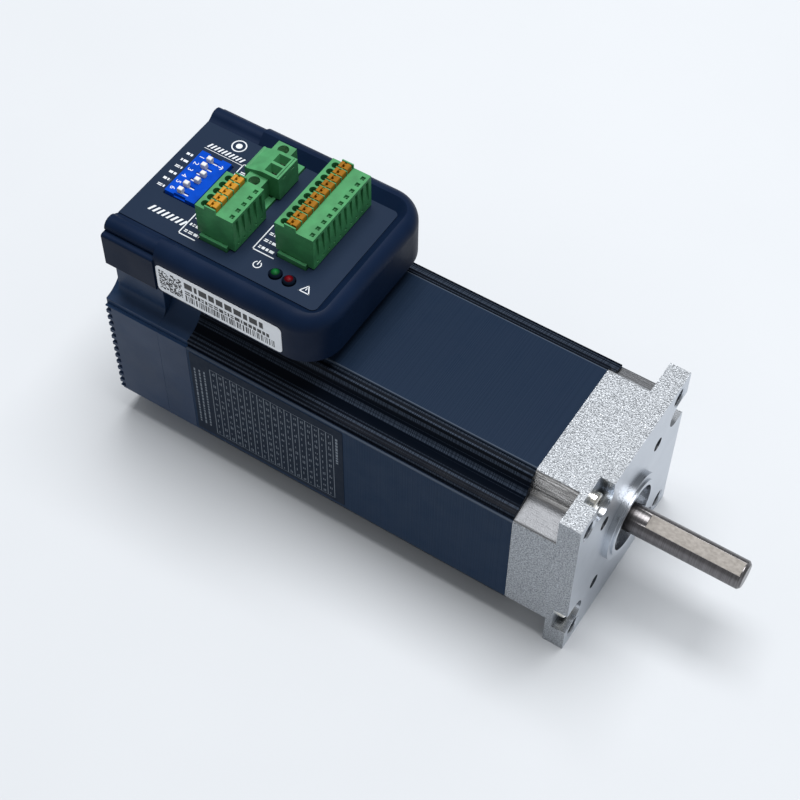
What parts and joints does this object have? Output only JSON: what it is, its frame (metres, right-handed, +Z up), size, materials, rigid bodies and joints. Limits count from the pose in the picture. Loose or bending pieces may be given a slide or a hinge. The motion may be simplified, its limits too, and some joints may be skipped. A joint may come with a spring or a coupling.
{
  "type": "integrated servo motor with built-in drive",
  "caption": "Square-frame servo motor lying on its side with a ribbed rear housing and a drive box on top carrying pluggable terminals, a slide switch block and two lamps.",
  "frame": {"origin": "centre of the front mounting face, on the shaft axis", "axes": "+X along the output shaft, +Z up towards the drive box, +Y to the far side"},
  "size_m": [0.179, 0.0571, 0.0885],
  "materials": {
    "cast_aluminium": "as-cast sides, machined front face",
    "lamination_navy": "satin paint over stacked laminations",
    "navy_casting": "satin powder coat",
    "bobbin_plastic": "moulded",
    "enamelled_copper": "enamelled wire",
    "shaft_steel": "ground",
    "core_steel": "bare laminations",
    "magnet_black": "coated magnet",
    "bearing_steel": "polished",
    "zinc_screw": "bright zinc",
    "black_screw": "black oxide",
    "circuit_board": "solder mask",
    "lead_insulation": "silicone insulation",
    "overlay_film": "matt printed film",
    "thermal_pad_grey": "soft pad",
    "capacitor_can": "bare can",
    "chip_epoxy": "moulded epoxy",
    "header_green": "moulded",
    "plug_green": "moulded",
    "power_plug_green": "moulded",
    "tinned_brass": "tinned",
    "lever_orange": "moulded",
    "switch_blue": "moulded",
    "slider_white": "moulded",
    "lens_green": "clear tinted",
    "lens_red": "clear tinted",
    "label_white": "printed paper film",
    "label_dark": "printed film"
  },
  "bodies": {
    "root": {"front_flange": "cast_aluminium", "stator_core": "lamination_navy", "coil_bobbins": "bobbin_plastic", "stator_coils": "enamelled_copper", "rear_bell": "navy_casting", "rear_housing": "navy_casting", "drive_base": "navy_casting", "drive_housing": "navy_casting", "bearing_outer_races": "bearing_steel", "bearing_balls": "bearing_steel", "wave_washer": "bearing_steel", "tie_screws": "zinc_screw", "encoder_board": "circuit_board", "motor_leads": "lead_insulation", "top_overlay": "overlay_film", "drive_board": "circuit_board", "housing_screws": "black_screw", "thermal_pad": "thermal_pad_grey", "bulk_capacitors": "capacitor_can", "board_chips": "chip_epoxy", "pcb_headers": "header_green", "header_pins": "tinned_brass", "dip_body": "switch_blue", "led_green": "lens_green", "led_red": "lens_red", "serial_label": "label_white", "spec_label": "label_dark"},
    "rotor": {"motor_shaft": "shaft_steel", "rotor_core": "core_steel", "rotor_magnets": "magnet_black", "bearing_inner_races": "bearing_steel", "encoder_magnet": "magnet_black"},
    "signal_plug": {"signal_plug": "plug_green", "signal_contacts": "tinned_brass"},
    "comms_plug": {"comms_plug": "plug_green", "comms_contacts": "tinned_brass"},
    "power_plug": {"power_plug": "power_plug_green", "power_clamps": "tinned_brass", "power_screws": "zinc_screw"},
    "signal_lever_1": {"signal_lever_1": "lever_orange"},
    "signal_lever_2": {"signal_lever_2": "lever_orange"},
    "signal_lever_3": {"signal_lever_3": "lever_orange"},
    "signal_lever_4": {"signal_lever_4": "lever_orange"},
    "signal_lever_5": {"signal_lever_5": "lever_orange"},
    "signal_lever_6": {"signal_lever_6": "lever_orange"},
    "signal_lever_7": {"signal_lever_7": "lever_orange"},
    "signal_lever_8": {"signal_lever_8": "lever_orange"},
    "signal_lever_9": {"signal_lever_9": "lever_orange"},
    "signal_lever_10": {"signal_lever_10": "lever_orange"},
    "comms_lever_1": {"comms_lever_1": "lever_orange"},
    "comms_lever_2": {"comms_lever_2": "lever_orange"},
    "comms_lever_3": {"comms_lever_3": "lever_orange"},
    "comms_lever_4": {"comms_lever_4": "lever_orange"},
    "comms_lever_5": {"comms_lever_5": "lever_orange"},
    "dip_slider_1": {"dip_slider_1": "slider_white"},
    "dip_slider_2": {"dip_slider_2": "slider_white"},
    "dip_slider_3": {"dip_slider_3": "slider_white"},
    "dip_slider_4": {"dip_slider_4": "slider_white"},
    "dip_slider_5": {"dip_slider_5": "slider_white"},
    "dip_slider_6": {"dip_slider_6": "slider_white"}
  },
  "joints": [
    {"name": "shaft_spin", "type": "hinge", "parent": "root", "child": "rotor", "pos_m": [0, 0, 0], "axis": [1, 0, 0], "continuous": true},
    {"name": "signal_plug_pull", "type": "slide", "parent": "root", "child": "signal_plug", "axis": [0, 0, 1], "range_m": [0, 0.009]},
    {"name": "comms_plug_pull", "type": "slide", "parent": "root", "child": "comms_plug", "axis": [0, 0, 1], "range_m": [0, 0.009]},
    {"name": "power_plug_pull", "type": "slide", "parent": "root", "child": "power_plug", "axis": [0, 0, 1], "range_m": [0, 0.009]},
    {"name": "signal_lever_1_press", "type": "slide", "parent": "signal_plug", "child": "signal_lever_1", "axis": [0, 0, -1], "range_m": [0, 0.001], "stiffness_N_per_m": 2000},
    {"name": "signal_lever_2_press", "type": "slide", "parent": "signal_plug", "child": "signal_lever_2", "axis": [0, 0, -1], "range_m": [0, 0.001], "stiffness_N_per_m": 2000},
    {"name": "signal_lever_3_press", "type": "slide", "parent": "signal_plug", "child": "signal_lever_3", "axis": [0, 0, -1], "range_m": [0, 0.001], "stiffness_N_per_m": 2000},
    {"name": "signal_lever_4_press", "type": "slide", "parent": "signal_plug", "child": "signal_lever_4", "axis": [0, 0, -1], "range_m": [0, 0.001], "stiffness_N_per_m": 2000},
    {"name": "signal_lever_5_press", "type": "slide", "parent": "signal_plug", "child": "signal_lever_5", "axis": [0, 0, -1], "range_m": [0, 0.001], "stiffness_N_per_m": 2000},
    {"name": "signal_lever_6_press", "type": "slide", "parent": "signal_plug", "child": "signal_lever_6", "axis": [0, 0, -1], "range_m": [0, 0.001], "stiffness_N_per_m": 2000},
    {"name": "signal_lever_7_press", "type": "slide", "parent": "signal_plug", "child": "signal_lever_7", "axis": [0, 0, -1], "range_m": [0, 0.001], "stiffness_N_per_m": 2000},
    {"name": "signal_lever_8_press", "type": "slide", "parent": "signal_plug", "child": "signal_lever_8", "axis": [0, 0, -1], "range_m": [0, 0.001], "stiffness_N_per_m": 2000},
    {"name": "signal_lever_9_press", "type": "slide", "parent": "signal_plug", "child": "signal_lever_9", "axis": [0, 0, -1], "range_m": [0, 0.001], "stiffness_N_per_m": 2000},
    {"name": "signal_lever_10_press", "type": "slide", "parent": "signal_plug", "child": "signal_lever_10", "axis": [0, 0, -1], "range_m": [0, 0.001], "stiffness_N_per_m": 2000},
    {"name": "comms_lever_1_press", "type": "slide", "parent": "comms_plug", "child": "comms_lever_1", "axis": [0, 0, -1], "range_m": [0, 0.001], "stiffness_N_per_m": 2000},
    {"name": "comms_lever_2_press", "type": "slide", "parent": "comms_plug", "child": "comms_lever_2", "axis": [0, 0, -1], "range_m": [0, 0.001], "stiffness_N_per_m": 2000},
    {"name": "comms_lever_3_press", "type": "slide", "parent": "comms_plug", "child": "comms_lever_3", "axis": [0, 0, -1], "range_m": [0, 0.001], "stiffness_N_per_m": 2000},
    {"name": "comms_lever_4_press", "type": "slide", "parent": "comms_plug", "child": "comms_lever_4", "axis": [0, 0, -1], "range_m": [0, 0.001], "stiffness_N_per_m": 2000},
    {"name": "comms_lever_5_press", "type": "slide", "parent": "comms_plug", "child": "comms_lever_5", "axis": [0, 0, -1], "range_m": [0, 0.001], "stiffness_N_per_m": 2000},
    {"name": "dip_slider_1_slide", "type": "slide", "parent": "root", "child": "dip_slider_1", "axis": [1, 0, 0], "range_m": [0, 0.0016]},
    {"name": "dip_slider_2_slide", "type": "slide", "parent": "root", "child": "dip_slider_2", "axis": [1, 0, 0], "range_m": [0, 0.0016]},
    {"name": "dip_slider_3_slide", "type": "slide", "parent": "root", "child": "dip_slider_3", "axis": [1, 0, 0], "range_m": [-0.0016, 0]},
    {"name": "dip_slider_4_slide", "type": "slide", "parent": "root", "child": "dip_slider_4", "axis": [1, 0, 0], "range_m": [-0.0016, 0]},
    {"name": "dip_slider_5_slide", "type": "slide", "parent": "root", "child": "dip_slider_5", "axis": [1, 0, 0], "range_m": [0, 0.0016]},
    {"name": "dip_slider_6_slide", "type": "slide", "parent": "root", "child": "dip_slider_6", "axis": [1, 0, 0], "range_m": [0, 0.0016]}
  ]
}
